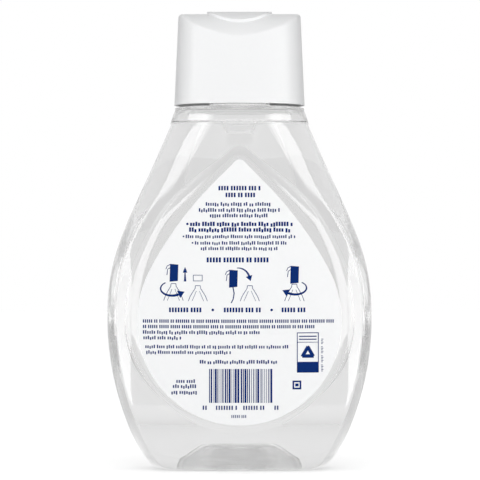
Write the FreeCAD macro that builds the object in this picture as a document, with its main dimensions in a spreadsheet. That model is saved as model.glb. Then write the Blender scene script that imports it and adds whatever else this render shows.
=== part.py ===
"""Refill bottle for liquid dish soap: a clear blow-moulded bottle with a wide oval screw cap.

The frame has its origin under the middle of the base, +Z up, the long side of the
oval along X and the labelled face towards -Y. All lengths are in millimetres.
"""
import FreeCAD, Part
import math
import os

SIZES = {
    # bottle body: levels are heights above the base, widths run along X, depths along Y,
    # and a tuck is how much shallower a lower station is than the haunch
    "heel_radius": 10.0,
    "heel_spread": 60.0,
    "foot_width": 79.2,
    "foot_tuck": 7.2,
    "ankle_level": 11.6,
    "ankle_width": 86.8,
    "ankle_tuck": 2.2,
    "haunch_level": 20.0,
    "haunch_width": 94.4,
    "haunch_depth": 48.2,
    "low_belly_level": 40.0,
    "low_belly_width": 105.8,
    "belly_level": 65.0,
    "belly_width": 110.0,
    "flank_level": 83.0,
    "flank_width": 106.2,
    "upper_flank_level": 100.0,
    "upper_flank_width": 95.4,
    "shoulder_level": 120.0,
    "shoulder_width": 77.4,
    "collar_level": 143.0,
    "collar_width": 57.0,
    "face_tilt": 1.6,
    "face_radius": 120.0,
    "shoulder_face_radius": 90.0,
    "collar_face_radius": 45.0,
    "rim_inset": 4.6,
    "upper_flank_rim_inset": 6.2,
    "shoulder_rim_inset": 9.5,
    "collar_rim_inset": 8.0,
    "rim_radius": 3.0,
    "upper_flank_rim_radius": 4.0,
    "shoulder_rim_radius": 8.0,
    "collar_rim_radius": 12.0,
    "bottle_wall": 0.8,
    # collar under the cap, its moulded tab and its two side lugs
    "collar_step": 0.35,
    "collar_height": 7.0,
    "collar_waist_rise": 0.6,
    "collar_waist_share": 0.45,
    "deck_width": 52.4,
    "deck_depth": 39.0,
    "deck_wall": 1.3,
    "tab_top_width": 13.0,
    "tab_foot_width": 9.6,
    "tab_drop": 4.2,
    "lug_radius": 1.3,
    "lug_length": 2.4,
    "lug_stand": 0.7,
    # push-up of the base
    "punt_width": 59.0,
    "punt_depth": 21.0,
    "punt_rise": 11.2,
    "punt_crest_width": 27.0,
    "punt_crest_depth": 7.0,
    "punt_shoulder_share": 0.3,
    "punt_shoulder_rise": 0.5,
    # label film, and the raised panel that carries it
    "label_radius": 42.0,
    "label_level": 61.2,
    "label_side_radius": 46.0,
    "label_side_angle": 28.0,
    "label_shoulder_radius": 150.0,
    "label_tip_angle": 45.0,
    "label_tip_radius": 2.5,
    "label_film": 0.12,
    "label_gap": 0.02,
    "panel_margin": 3.1,
    "panel_side_radius": 71.0,
    "panel_side_angle": 28.0,
    "panel_shoulder_radius": 60.0,
    "panel_tip_angle": 47.0,
    "panel_tip_radius": 2.5,
    "panel_rise": 0.8,
    "panel_edge_radius": 10.0,
    # neck finish and its two-start thread
    "neck_radius": 12.6,
    "neck_bore": 11.0,
    "neck_height": 26.0,
    "thread_depth": 1.15,
    "thread_lead": 8.4,
    "thread_root": 2.3,
    "thread_crest": 1.0,
    "thread_turns": 1.2,
    "thread_rise": 8.0,
    "thread_clearance": 0.35,
    "thread_sink": 0.3,
    # cap
    "cap_gap": 0.9,
    "cap_width": 54.2,
    "cap_depth": 40.0,
    "cap_top_width": 50.8,
    "cap_top_depth": 37.0,
    "cap_face_radius": 45.0,
    "cap_rim_inset": 7.5,
    "cap_rim_radius": 10.0,
    "cap_height": 38.0,
    "cap_arch_radius": 22.6,
    "cap_edge_round": 1.5,
    "cap_wall": 1.5,
    "skirt_wall": 1.3,
    "skirt_recess": 1.5,
    "land_bore": 9.5,
    "disc_radius": 13.5,
    "disc_stand": 1.0,
    "cap_thread_turns": 1.0,
    # liner between the cap and the lip of the neck
    "liner_radius": 13.6,
    "liner_thickness": 1.2,
    "liner_clearance": 0.05,
    # liquid
    "soap_clearance": 0.06,
    "fill_drop": 0.2,
}

doc = FreeCAD.newDocument("dish_soap_refill_bottle")
sheet = doc.addObject("Spreadsheet::Sheet", "sizes")
for row, (alias, value) in enumerate(SIZES.items(), start=1):
    sheet.set("A%d" % row, alias)
    sheet.set("B%d" % row, str(value))
    sheet.setAlias("B%d" % row, alias)
doc.recompute()


def size(alias):
    """Value of one cell of the sheet."""
    return float(getattr(sheet, alias))


def total(aliases):
    """Sum of several cells of the sheet."""
    return sum(size(alias) for alias in aliases)


def total_text(aliases):
    """The same sum as an expression, for a size that is bound to the sheet."""
    return "(%s)" % " + ".join(["0"] + ["sizes." + alias for alias in aliases])


def add(kind, name, **expressions):
    """One object of the document, with its sizes bound to the sheet."""
    thing = doc.addObject(kind, name)
    thing.Label = name
    for path, text in expressions.items():
        thing.setExpression(path.replace("__", "."), text)
    return thing


def combine(kind, name, base, tool):
    """Boolean of two objects."""
    result = add(kind, name)
    result.Base = base
    result.Tool = tool
    return result


def fuse(name, shapes):
    """Union of several objects."""
    result = add("Part::MultiFuse", name)
    result.Shapes = shapes
    return result


DECK_TEXT = "(sizes.collar_level + sizes.collar_height)"
LIP_TEXT = "(sizes.collar_level + sizes.collar_height + sizes.neck_height)"
deck_level = total(["collar_level", "collar_height"])


# ---------------------------------------------------------------- oval sections

def oval_wire(half_width, half_depth, face_radius, rim_inset, rim_radius, level):
    """Oval of eight tangent arcs at one level: two faces, two sides and four rims.

    The face arc and the side arc would meet rim_inset in from the end of the oval;
    the rim arc rounds that corner.
    """
    corner_x = half_width - rim_inset
    face_sag = face_radius - math.sqrt(face_radius ** 2 - corner_x ** 2)
    corner_y = half_depth - face_sag
    side_radius = (corner_y ** 2 + rim_inset ** 2) / (2 * rim_inset)
    face_centre = FreeCAD.Vector(0, half_depth - face_radius, 0)
    side_centre = FreeCAD.Vector(half_width - side_radius, 0, 0)
    to_side = side_centre - face_centre
    apart = to_side.Length
    reach_face = face_radius - rim_radius
    reach_side = side_radius - rim_radius
    along = (reach_face ** 2 - reach_side ** 2 + apart ** 2) / (2 * apart)
    across = math.sqrt(reach_face ** 2 - along ** 2)
    to_side.normalize()
    outwards = FreeCAD.Vector(-to_side.y, to_side.x, 0)
    corner = FreeCAD.Vector(corner_x, corner_y, 0)
    candidates = [face_centre + to_side * along + outwards * (sign * across) for sign in (1, -1)]
    rim_centre = min(candidates, key=lambda point: point.distanceToPoint(corner))
    face_ray = (rim_centre - face_centre).normalize()
    side_ray = (rim_centre - side_centre).normalize()
    face_end = face_centre + face_ray * face_radius
    side_end = side_centre + side_ray * side_radius
    rim_middle = rim_centre + (face_ray + side_ray).normalize() * rim_radius
    top = FreeCAD.Vector(0, half_depth, 0)
    tip = FreeCAD.Vector(half_width, 0, 0)

    def at(point, sign_x, sign_y):
        return FreeCAD.Vector(sign_x * point.x, sign_y * point.y, level)

    arcs = [
        (at(side_end, 1, -1), at(tip, 1, 1), at(side_end, 1, 1)),
        (at(side_end, 1, 1), at(rim_middle, 1, 1), at(face_end, 1, 1)),
        (at(face_end, 1, 1), at(top, 1, 1), at(face_end, -1, 1)),
        (at(face_end, -1, 1), at(rim_middle, -1, 1), at(side_end, -1, 1)),
        (at(side_end, -1, 1), at(tip, -1, 1), at(side_end, -1, -1)),
        (at(side_end, -1, -1), at(rim_middle, -1, -1), at(face_end, -1, -1)),
        (at(face_end, -1, -1), at(top, 1, -1), at(face_end, 1, -1)),
        (at(face_end, 1, -1), at(rim_middle, 1, -1), at(side_end, 1, -1)),
    ]
    return Part.Wire([Part.Arc(*points).toShape() for points in arcs])


def section(name, wire):
    """Closed wire kept as an object, for a loft to pass through."""
    holder = doc.addObject("Part::Feature", name)
    holder.Shape = wire
    return holder


def loft(name, sections):
    """Solid through a stack of sections."""
    result = add("Part::Loft", name)
    result.Sections = sections
    result.Solid = True
    result.Ruled = False
    return result


# ---------------------------------------------------------------- bottle body

def face_half_depth(level):
    """Half depth of the bottle where its faces run straight, leaning in towards the neck."""
    lean = math.tan(math.radians(size("face_tilt")))
    return size("haunch_depth") / 2 - (level - size("haunch_level")) * lean


def heel_rise():
    """Height of the rounded heel."""
    return size("heel_radius") * (1 - math.cos(math.radians(size("heel_spread"))))


def body_stations():
    """Level, half width, half depth, face radius, rim inset and rim radius up the body."""
    full_depth = size("haunch_depth")
    foot = (heel_rise(), size("foot_width") / 2, (full_depth - size("foot_tuck")) / 2)
    ankle = (size("ankle_level"), size("ankle_width") / 2, (full_depth - size("ankle_tuck")) / 2)
    low_rim = (size("face_radius"), size("rim_inset"), size("rim_radius"))
    stations = [foot + low_rim, ankle + low_rim]
    for place in ("haunch", "low_belly", "belly", "flank"):
        level = size(place + "_level")
        half_width = size(place + "_width") / 2
        stations.append((level, half_width, face_half_depth(level)) + low_rim)
    level = size("upper_flank_level")
    stations.append((
        level,
        size("upper_flank_width") / 2,
        face_half_depth(level),
        size("face_radius"),
        size("upper_flank_rim_inset"),
        size("upper_flank_rim_radius"),
    ))
    for place in ("shoulder", "collar"):
        level = size(place + "_level")
        stations.append((
            level,
            size(place + "_width") / 2,
            face_half_depth(level),
            size(place + "_face_radius"),
            size(place + "_rim_inset"),
            size(place + "_rim_radius"),
        ))
    return stations


def inset_wire(station, inset):
    """Section of the body at a station, moved in from the outer surface."""
    level, half_width, half_depth, face_radius, rim_inset, rim_radius = station
    return oval_wire(
        half_width - inset,
        half_depth - inset,
        face_radius - inset,
        rim_inset,
        max(rim_radius - inset, 0.5 * rim_radius),
        level,
    )


HEEL_SHARES = (0.0, 0.35, 0.7)


def heel_wires(inset):
    """Sections of the rounded heel, from the flat of the base up to just below the foot."""
    radius = size("heel_radius")
    spread = math.radians(size("heel_spread"))
    half_width, half_depth, face_radius, rim_inset, rim_radius = body_stations()[0][1:]
    wires = []
    for share in HEEL_SHARES:
        angle = spread * share
        pull = (radius - inset) * (math.sin(spread) - math.sin(angle))
        wires.append(oval_wire(
            half_width - inset * math.sin(spread) - pull,
            half_depth - inset * math.sin(spread) - pull,
            face_radius,
            rim_inset,
            max(rim_radius - inset, 0.5 * rim_radius),
            radius - (radius - inset) * math.cos(angle),
        ))
    return wires


def foot_wire(inset):
    """Section at the top of the heel."""
    level, half_width, half_depth, face_radius, rim_inset, rim_radius = body_stations()[0]
    lean = math.radians(size("heel_spread"))
    return oval_wire(
        half_width - inset * math.sin(lean),
        half_depth - inset * math.sin(lean),
        face_radius,
        rim_inset,
        max(rim_radius - inset, 0.5 * rim_radius),
        level + inset * math.cos(lean),
    )


def body_sections(name, inset):
    """Sections of the body from the base to the collar."""
    wires = heel_wires(inset) + [foot_wire(inset)]
    wires += [inset_wire(station, inset) for station in body_stations()[1:]]
    return [section("%s_section_%d" % (name, k), wire) for k, wire in enumerate(wires)]


def collar_wire(level, share, outset):
    """Section of the collar: share 0 at its foot and 1 at the deck on its top."""
    foot_half_width = size("collar_width") / 2
    foot_half_depth = face_half_depth(size("collar_level"))
    return oval_wire(
        foot_half_width + share * (size("deck_width") / 2 - foot_half_width) + outset,
        foot_half_depth + share * (size("deck_depth") / 2 - foot_half_depth) + outset,
        size("collar_face_radius") + outset,
        size("collar_rim_inset"),
        size("collar_rim_radius") + outset,
        level,
    )


body_outer = loft("body_outer", body_sections("body", 0.0))
waist_level = size("collar_level") + size("collar_waist_rise") * size("collar_height")
collar_outer = loft("collar_outer", [
    section("collar_foot", collar_wire(size("collar_level"), 0.0, size("collar_step"))),
    section("collar_waist", collar_wire(waist_level, size("collar_waist_share"), size("collar_step"))),
    section("collar_deck", collar_wire(deck_level, 1.0, 0.0)),
])


# ---------------------------------------------------------------- label outline and raised panel

def drop_wire(kind, margin):
    """Drop-shaped outline of the label or its panel, moved out by a margin, in the plane Y = 0."""
    radius = size("label_radius") + margin
    level = size("label_level")
    side = size(kind + "_side_radius") + margin
    shoulder = size(kind + "_shoulder_radius") + margin
    turn = math.radians(size(kind + "_side_angle"))
    lean = math.radians(size(kind + "_tip_angle"))
    tip = size(kind + "_tip_radius") + margin

    def around(centre, reach, angle):
        return FreeCAD.Vector(centre.x + reach * math.cos(angle), 0, centre.z + reach * math.sin(angle))

    side_centre = FreeCAD.Vector(radius - side, 0, level)
    shoulder_centre = around(side_centre, side - shoulder, turn)
    widest = FreeCAD.Vector(radius, 0, level)
    side_end = around(side_centre, side, turn)
    shoulder_end = around(shoulder_centre, shoulder, lean)
    apex = shoulder_end.z + shoulder_end.x / math.tan(lean)
    tip_centre = FreeCAD.Vector(0, 0, apex - tip / math.sin(lean))
    tip_end = around(tip_centre, tip, lean)
    tip_top = around(tip_centre, tip, math.pi / 2)
    bottom = FreeCAD.Vector(0, 0, level - radius)

    def mirrored(point):
        return FreeCAD.Vector(-point.x, 0, point.z)

    side_middle = around(side_centre, side, turn / 2)
    shoulder_middle = around(shoulder_centre, shoulder, (turn + lean) / 2)
    edges = [
        Part.Arc(mirrored(widest), bottom, widest).toShape(),
        Part.Arc(widest, side_middle, side_end).toShape(),
        Part.Arc(side_end, shoulder_middle, shoulder_end).toShape(),
        Part.LineSegment(shoulder_end, tip_end).toShape(),
        Part.Arc(tip_end, tip_top, mirrored(tip_end)).toShape(),
        Part.LineSegment(mirrored(tip_end), mirrored(shoulder_end)).toShape(),
        Part.Arc(mirrored(shoulder_end), mirrored(shoulder_middle), mirrored(side_end)).toShape(),
        Part.Arc(mirrored(side_end), mirrored(side_middle), mirrored(widest)).toShape(),
    ]
    return Part.Wire(edges)


def face_cylinder(name, radius_text, front):
    """Leaning cylinder whose surface is one broad face of the bottle."""
    side = 1 if front else -1
    cylinder = add(
        "Part::Cylinder",
        name,
        Radius=radius_text,
        Height=DECK_TEXT + " * 2",
        Placement__Base__y="%d * (sizes.face_radius - sizes.haunch_depth / 2"
        " - (sizes.haunch_level + %s / 2) * tan(sizes.face_tilt))" % (side, DECK_TEXT),
        Placement__Base__z="-%s / 2" % DECK_TEXT,
    )
    lean = FreeCAD.Rotation(FreeCAD.Vector(1, 0, 0), -side * size("face_tilt"))
    cylinder.Placement = FreeCAD.Placement(FreeCAD.Vector(0, 0, 0), lean)
    return cylinder


def drop_prism(name, outline, front):
    """Prism on a drop outline, run out through one face."""
    prism = add("Part::Extrusion", name + "_prism", LengthFwd="sizes.belly_width / 2")
    prism.Base = section(name + "_outline", outline)
    prism.DirMode = "Custom"
    prism.Dir = FreeCAD.Vector(0, -1 if front else 1, 0)
    prism.Solid = True
    return prism


def panel_spread():
    """How far the rounded edge of the panel runs on below the face before it would stand upright."""
    edge, rise = size("panel_edge_radius"), size("panel_rise")
    return edge - math.sqrt(2 * edge * rise - rise ** 2)


def panel_squeeze():
    """Share of its width that the panel's prism keeps.

    The face falls away towards the sides, where a full-width edge would run on too far past the outline.
    """
    half_width = size("label_radius") + size("panel_margin")
    face, edge = size("face_radius"), size("panel_edge_radius")
    reach = face + size("panel_rise") - edge
    turn = math.acos((reach ** 2 + face ** 2 - edge ** 2) / (2 * reach * face))
    upright = reach * math.sin(math.asin(half_width / face) - turn) + edge
    return upright / (half_width + panel_spread())


def squeezed(wire, share):
    """Wire whose width along X is scaled by a share."""
    matrix = FreeCAD.Matrix()
    matrix.A11 = share
    return wire.transformGeometry(matrix)


def raised_panel(name, inset, front):
    """Raised panel under a label: a drop whose rounded edge dives into the face."""
    margin = size("panel_margin") + panel_spread() - total(inset)
    outline = squeezed(drop_wire("panel", margin), panel_squeeze())
    prism = drop_prism(name, outline, front)
    radius_text = "sizes.face_radius + sizes.panel_rise - %s" % total_text(inset)
    cylinder = face_cylinder(name + "_face", radius_text, front)
    block = combine("Part::Common", name + "_block", prism, cylinder)
    doc.recompute()
    radius = size("panel_edge_radius") - total(inset)
    picked = [
        (number, radius, radius)
        for number, edge in enumerate(block.Shape.Edges, start=1)
        if min(abs(edge.BoundBox.YMin), abs(edge.BoundBox.YMax)) > radius / 2
    ]
    rounded = add("Part::Fillet", name)
    rounded.Base = block
    rounded.Edges = picked
    return rounded


# ---------------------------------------------------------------- push-up of the base

def punt_tool(name, inset):
    """Push-up of the base, swelled by an inset where it bounds the inside."""
    stack = []
    shoulder = (size("punt_shoulder_share"), size("punt_shoulder_rise"))
    for share, rise in ((0.0, 0.0), shoulder, (1.0, 1.0)):
        spare_width = (size("punt_width") - size("punt_crest_width")) / 2
        spare_depth = (size("punt_depth") - size("punt_crest_depth")) / 2
        half_width = size("punt_width") / 2 - share * spare_width + inset
        half_depth = size("punt_depth") / 2 - share * spare_depth + inset
        level = (size("punt_rise") + inset) * rise
        ellipse = Part.Ellipse(FreeCAD.Vector(0, 0, level), half_width, half_depth)
        stack.append(section("%s_section_%d" % (name, len(stack)), Part.Wire([ellipse.toShape()])))
    return loft(name, stack)


def hollow(name, inset):
    """Inside of the bottle below the collar: body and panels, less the push-up."""
    room = fuse(name + "_room", [
        loft(name + "_body", body_sections(name, total(inset))),
        raised_panel(name + "_front_panel", inset, True),
        raised_panel(name + "_back_panel", inset, False),
    ])
    return combine("Part::Cut", name, room, punt_tool(name + "_punt", total(inset)))


def collar_room():
    """Inside of the collar, up to the underside of the deck."""
    wall = size("bottle_wall")
    under_deck = deck_level - size("deck_wall")
    share = 1 - size("deck_wall") / size("collar_height")
    return loft("collar_room", [
        section("collar_room_foot", collar_wire(size("collar_level"), 0.0, -wall)),
        section("collar_room_deck", collar_wire(under_deck, share, -wall)),
    ])


# ---------------------------------------------------------------- threads

THREAD_STARTS = 2


def thread_ridge(name, root_radius, crest_radius, start_level, turns_text, start_angle):
    """One start of a thread: a tapered ridge swept along a helix."""
    helix = add(
        "Part::Helix",
        name + "_helix",
        Pitch="sizes.thread_lead",
        Height="sizes.thread_lead * %s" % turns_text,
        Radius="sizes.neck_radius",
    )
    half_root = size("thread_root") / 2
    half_crest = size("thread_crest") / 2
    corners = [
        FreeCAD.Vector(root_radius, 0, -half_root),
        FreeCAD.Vector(crest_radius, 0, -half_crest),
        FreeCAD.Vector(crest_radius, 0, half_crest),
        FreeCAD.Vector(root_radius, 0, half_root),
    ]
    profile = section(name + "_profile", Part.makePolygon(corners + corners[:1]))
    turned = FreeCAD.Placement(
        FreeCAD.Vector(0, 0, start_level),
        FreeCAD.Rotation(FreeCAD.Vector(0, 0, 1), start_angle),
    )
    helix.Placement = turned
    profile.Placement = turned
    doc.recompute()
    ridge = add("Part::Sweep", name)
    ridge.Sections = [profile]
    ridge.Spine = (helix, ["Edge1"])
    ridge.Solid = True
    ridge.Frenet = True
    return ridge


# ---------------------------------------------------------------- bottle

def upright(name, radius_text, low_text, high_text):
    """Upright cylinder between two levels."""
    return add(
        "Part::Cylinder",
        name,
        Radius=radius_text,
        Placement__Base__z=low_text,
        Height="(%s) - (%s)" % (high_text, low_text),
    )


def make_tab():
    """Trapezoid tab that hangs from the collar on the labelled face."""
    half_top = size("tab_top_width") / 2
    half_foot = size("tab_foot_width") / 2
    top = size("collar_level")
    foot = top - size("tab_drop")
    corners = [
        FreeCAD.Vector(-half_top, 0, top),
        FreeCAD.Vector(-half_foot, 0, foot),
        FreeCAD.Vector(half_foot, 0, foot),
        FreeCAD.Vector(half_top, 0, top),
    ]
    outline = section("tab_outline", Part.makePolygon(corners + corners[:1]))
    prism = add("Part::Extrusion", "tab_prism", LengthFwd="sizes.haunch_depth / 2")
    prism.Base = outline
    prism.DirMode = "Custom"
    prism.Dir = FreeCAD.Vector(0, -1, 0)
    prism.Solid = True
    limit = add(
        "Part::Cylinder",
        "tab_face",
        Radius="sizes.collar_face_radius + sizes.collar_step",
        Height=DECK_TEXT,
        Placement__Base__y="sizes.collar_face_radius - sizes.haunch_depth / 2"
        " + (sizes.collar_level - sizes.haunch_level) * tan(sizes.face_tilt)",
    )
    return combine("Part::Common", "collar_tab", prism, limit)


def make_lug(name, side):
    """Small half-round lug at one end of the collar."""
    return add(
        "Part::Cylinder",
        name,
        Radius="sizes.lug_radius",
        Height="sizes.lug_length",
        Placement__Base__x="%d * (sizes.deck_width / 2 + sizes.lug_stand - sizes.lug_radius)" % side,
        Placement__Base__z=DECK_TEXT + " - sizes.lug_length",
    )


doc.recompute()
neck_outer = upright("neck_outer", "sizes.neck_radius", DECK_TEXT + " - sizes.deck_wall / 2", LIP_TEXT)
neck_ridges = [
    thread_ridge(
        "neck_thread_%d" % (k + 1),
        size("neck_radius") - size("thread_sink"),
        size("neck_radius") + size("thread_depth"),
        deck_level + size("thread_rise"),
        "sizes.thread_turns",
        360.0 / THREAD_STARTS * k,
    )
    for k in range(THREAD_STARTS)
]
neck = fuse("threaded_neck", [neck_outer] + neck_ridges)
bottle = fuse("bottle_solid", [
    body_outer,
    raised_panel("front_panel", [], True),
    raised_panel("back_panel", [], False),
    collar_outer,
    neck,
    make_tab(),
    make_lug("left_lug", -1),
    make_lug("right_lug", 1),
])
for tool in (
    punt_tool("base_punt", 0.0),
    fuse("room_inside", [hollow("inside", ["bottle_wall"]), collar_room()]),
    upright("neck_bore_tool", "sizes.neck_bore", DECK_TEXT + " - sizes.deck_wall * 2", LIP_TEXT + " * 2"),
):
    bottle = combine("Part::Cut", "bottle_less_" + tool.Label, bottle, tool)


# ---------------------------------------------------------------- liquid and label

soap_room = hollow("soap", ["bottle_wall", "soap_clearance"])
above_fill = add(
    "Part::Box",
    "above_fill",
    Length="sizes.belly_width",
    Width="sizes.belly_width",
    Height=DECK_TEXT,
    Placement__Base__x="-sizes.belly_width / 2",
    Placement__Base__y="-sizes.belly_width / 2",
    Placement__Base__z="sizes.collar_level - sizes.fill_drop",
)
dish_soap = combine("Part::Cut", "dish_soap", soap_room, above_fill)

label_prism = drop_prism("label", drop_wire("label", 0.0), True)
LABEL_TEXT = "sizes.face_radius + sizes.panel_rise + sizes.label_gap"
label_under = face_cylinder("label_under", LABEL_TEXT, True)
label_over = face_cylinder("label_over", LABEL_TEXT + " + sizes.label_film", True)
label_block = combine("Part::Common", "label_block", label_prism, label_over)
back_label = combine("Part::Cut", "back_label", label_block, label_under)


# ---------------------------------------------------------------- cap

def cap_wire(level, share, inset):
    """Section of the cap: share 0 at its rim and 1 at the top of its arch."""
    half_width = (size("cap_width") + share * (size("cap_top_width") - size("cap_width"))) / 2
    half_depth = (size("cap_depth") + share * (size("cap_top_depth") - size("cap_depth"))) / 2
    return oval_wire(
        half_width - inset,
        half_depth - inset,
        size("cap_face_radius") - inset,
        size("cap_rim_inset"),
        size("cap_rim_radius") - inset,
        level,
    )


cap_rim = deck_level + size("cap_gap")
CAP_TOP_TEXT = "(%s + sizes.cap_gap + sizes.cap_height)" % DECK_TEXT


def cap_block(name, inset):
    """Tapered oval under an arched top that runs along X."""
    sleeve = loft(name + "_sleeve", [
        section(name + "_rim", cap_wire(cap_rim, 0.0, total(inset))),
        section(name + "_top", cap_wire(cap_rim + size("cap_height"), 1.0, total(inset))),
    ])
    arch = add(
        "Part::Cylinder",
        name + "_arch",
        Radius="sizes.cap_arch_radius - %s" % total_text(inset),
        Height="sizes.cap_width",
        Placement__Base__x="-sizes.cap_width / 2",
        Placement__Base__z=CAP_TOP_TEXT + " - sizes.cap_arch_radius",
    )
    arch.Placement = FreeCAD.Placement(
        FreeCAD.Vector(0, 0, 0),
        FreeCAD.Rotation(FreeCAD.Vector(0, 1, 0), 90),
    )
    below = add(
        "Part::Box",
        name + "_below",
        Length="sizes.cap_width",
        Width="2 * (sizes.cap_arch_radius - %s)" % total_text(inset),
        Height="sizes.cap_height - sizes.cap_arch_radius + sizes.cap_gap",
        Placement__Base__x="-sizes.cap_width / 2",
        Placement__Base__y="-(sizes.cap_arch_radius - %s)" % total_text(inset),
        Placement__Base__z=DECK_TEXT,
    )
    return combine("Part::Common", name, sleeve, fuse(name + "_room", [arch, below]))


def round_top_edge(name, block):
    """Rounds the edge between the sides and the arched top."""
    doc.recompute()
    spring_level = cap_rim + size("cap_height") - size("cap_arch_radius")
    radius = size("cap_edge_round")
    picked = [
        (number, radius, radius)
        for number, edge in enumerate(block.Shape.Edges, start=1)
        if edge.BoundBox.ZMin > spring_level
    ]
    rounded = add("Part::Fillet", name)
    rounded.Base = block
    rounded.Edges = picked
    return rounded


cap_outer = cap_block("cap_outer", [])
cap_hollow = cap_block("cap_hollow", ["cap_wall"])
LAND_TEXT = "(%s + sizes.liner_thickness + 2 * sizes.liner_clearance)" % LIP_TEXT
SKIRT_TEXT = "(sizes.neck_radius + sizes.thread_depth + sizes.thread_clearance)"
doc.recompute()
cap_rounded = round_top_edge("cap_rounded", cap_outer)
skirt_pillar = upright(
    "skirt_pillar",
    SKIRT_TEXT + " + sizes.skirt_wall",
    DECK_TEXT + " + sizes.cap_gap + sizes.skirt_recess",
    CAP_TOP_TEXT,
)
skirt = combine("Part::Common", "skirt", skirt_pillar, cap_outer)
land_core_pillar = upright("land_core_pillar", "sizes.land_bore", LIP_TEXT, CAP_TOP_TEXT)
land_core = combine("Part::Common", "land_core", cap_hollow, land_core_pillar)
skirt_bore = upright("skirt_bore", SKIRT_TEXT, DECK_TEXT, LAND_TEXT)
disc_pillar = upright(
    "disc_pillar",
    "sizes.disc_radius",
    CAP_TOP_TEXT + " - sizes.cap_arch_radius / 2",
    CAP_TOP_TEXT + " + sizes.disc_stand * 2",
)
disc_arch = add(
    "Part::Cylinder",
    "disc_arch",
    Radius="sizes.cap_arch_radius + sizes.disc_stand",
    Height="sizes.cap_width",
    Placement__Base__x="-sizes.cap_width / 2",
    Placement__Base__z=CAP_TOP_TEXT + " - sizes.cap_arch_radius",
)
disc_arch.Placement = FreeCAD.Placement(
    FreeCAD.Vector(0, 0, 0),
    FreeCAD.Rotation(FreeCAD.Vector(0, 1, 0), 90),
)
raised_disc = combine("Part::Common", "raised_disc", disc_pillar, disc_arch)
cap_shell = combine("Part::Cut", "cap_shell", fuse("cap_with_disc", [cap_rounded, raised_disc]), cap_hollow)
cap_with_skirt = fuse("cap_with_skirt", [cap_shell, skirt])
cap_bored = combine("Part::Cut", "cap_bored", cap_with_skirt, fuse("cap_bores", [skirt_bore, land_core]))
skirt_inner = size("neck_radius") + size("thread_depth") + size("thread_clearance")
cap_ridges = [
    thread_ridge(
        "cap_thread_%d" % (k + 1),
        skirt_inner + size("thread_sink"),
        skirt_inner - size("thread_depth"),
        deck_level + size("thread_rise") - size("thread_lead") / (2 * THREAD_STARTS),
        "sizes.cap_thread_turns",
        360.0 / THREAD_STARTS * k,
    )
    for k in range(THREAD_STARTS)
]
cap = fuse("cap", [cap_bored] + cap_ridges)


# ---------------------------------------------------------------- liner

seal_liner = upright(
    "seal_liner",
    "sizes.liner_radius",
    LIP_TEXT + " + sizes.liner_clearance",
    LIP_TEXT + " + sizes.liner_clearance + sizes.liner_thickness",
)

doc.recompute()

# ---------------------------------------------------------------- checks and export

parts = {
    "bottle": bottle,
    "cap": cap,
    "seal_liner": seal_liner,
    "dish_soap": dish_soap,
    "back_label": back_label,
}
for thing in doc.Objects:
    if "Invalid" in thing.State or "Error" in thing.State:
        raise RuntimeError("%s did not build: %s" % (thing.Name, thing.State))
for name, thing in parts.items():
    shape = thing.Shape
    if shape.isNull() or not shape.isValid():
        raise RuntimeError("%s has no valid shape" % name)
    if len(shape.Solids) != 1:
        raise RuntimeError("%s has %d solids" % (name, len(shape.Solids)))

os.makedirs("parts", exist_ok=True)
for name, thing in parts.items():
    thing.Label = name
    thing.Shape.exportStep("parts/%s.step" % name)
    box = thing.Shape.optimalBoundingBox()
    print("%-12s volume %9.1f  x %.2f..%.2f  y %.2f..%.2f  z %.2f..%.2f" % (
        name, thing.Shape.Volume, box.XMin, box.XMax, box.YMin, box.YMax, box.ZMin, box.ZMax))
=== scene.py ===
"""Looks of the dish soap refill bottle: clear bottle, liquid, printed back label and white cap."""
import bpy
import bmesh
import math
import random
import numpy as np
from bpy.props import FloatProperty, FloatVectorProperty, IntProperty, PointerProperty
from bpy.types import Operator, Panel, PropertyGroup
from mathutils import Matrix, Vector
from mathutils.bvhtree import BVHTree


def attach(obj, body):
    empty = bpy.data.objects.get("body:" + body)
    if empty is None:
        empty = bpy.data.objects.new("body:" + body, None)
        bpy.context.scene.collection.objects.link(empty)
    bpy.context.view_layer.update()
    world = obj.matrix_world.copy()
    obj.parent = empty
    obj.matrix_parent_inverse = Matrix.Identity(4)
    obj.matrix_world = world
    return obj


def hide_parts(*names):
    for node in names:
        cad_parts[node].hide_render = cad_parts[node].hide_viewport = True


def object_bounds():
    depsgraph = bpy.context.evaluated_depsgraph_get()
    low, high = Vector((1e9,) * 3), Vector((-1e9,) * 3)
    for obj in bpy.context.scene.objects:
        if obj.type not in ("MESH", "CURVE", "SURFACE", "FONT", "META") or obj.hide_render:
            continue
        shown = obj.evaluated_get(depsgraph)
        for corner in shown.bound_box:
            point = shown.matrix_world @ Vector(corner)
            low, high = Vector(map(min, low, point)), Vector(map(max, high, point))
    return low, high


bl_info = {
    "name": "Dish Soap Refill Bottle",
    "version": (1, 0, 0),
    "blender": (4, 5, 0),
    "location": "View3D > Sidebar > Refill Bottle",
    "description": "Builds the clear bottle, its liquid, the printed label and the cap",
    "category": "Object",
}

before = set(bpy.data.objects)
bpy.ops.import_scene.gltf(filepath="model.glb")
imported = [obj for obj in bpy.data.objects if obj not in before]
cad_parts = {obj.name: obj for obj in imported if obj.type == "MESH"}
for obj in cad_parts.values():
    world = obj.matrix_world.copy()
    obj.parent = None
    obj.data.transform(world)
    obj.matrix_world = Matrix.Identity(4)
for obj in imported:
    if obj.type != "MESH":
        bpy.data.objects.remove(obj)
CAD_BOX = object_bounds()
MM = 0.001

# ---- sizes of the bottle, in millimetres

FACE_TILT = math.radians(1.6)
HAUNCH_LEVEL = 20.0
HAUNCH_HALF_DEPTH = 24.1
COLLAR_LEVEL = 143.0
DECK_LEVEL = 150.0
HEEL_RADIUS = 10.0
HEEL_SPREAD = math.radians(60.0)
HEEL_RISE = HEEL_RADIUS * (1 - math.cos(HEEL_SPREAD))
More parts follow.
